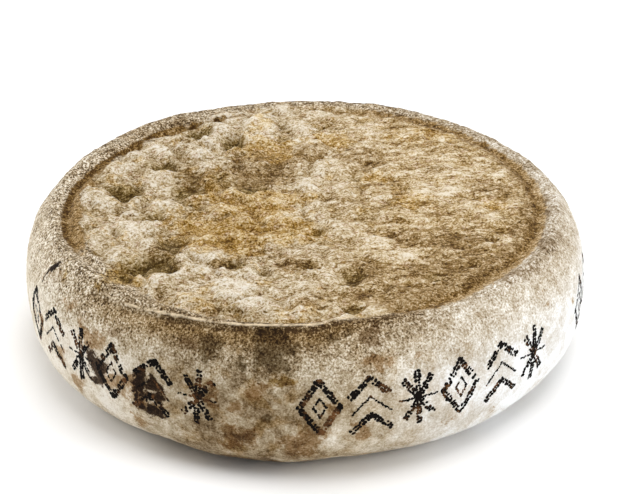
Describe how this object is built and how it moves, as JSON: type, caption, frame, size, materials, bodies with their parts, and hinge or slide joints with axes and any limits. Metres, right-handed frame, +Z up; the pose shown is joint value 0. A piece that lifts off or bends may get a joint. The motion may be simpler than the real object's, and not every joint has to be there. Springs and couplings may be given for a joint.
{
  "type": "tomme cheese wheel",
  "caption": "A whole, uncut wheel of pressed cow's milk cheese, with a craggy grey-beige rind, a furrow inside its rim and rounded sides.",
  "frame": {"origin": "middle of the flat underside, on the wheel's axis", "axes": "+Z up along the wheel's axis, -Y towards the side that shows, +X to its right"},
  "size_m": [0.2002, 0.2004, 0.0573],
  "materials": {
    "rind": "dull, dusty and craggy, cream to brown with whitish mould"
  },
  "bodies": {
    "root": {"cheese_wheel": "rind"}
  },
  "joints": []
}
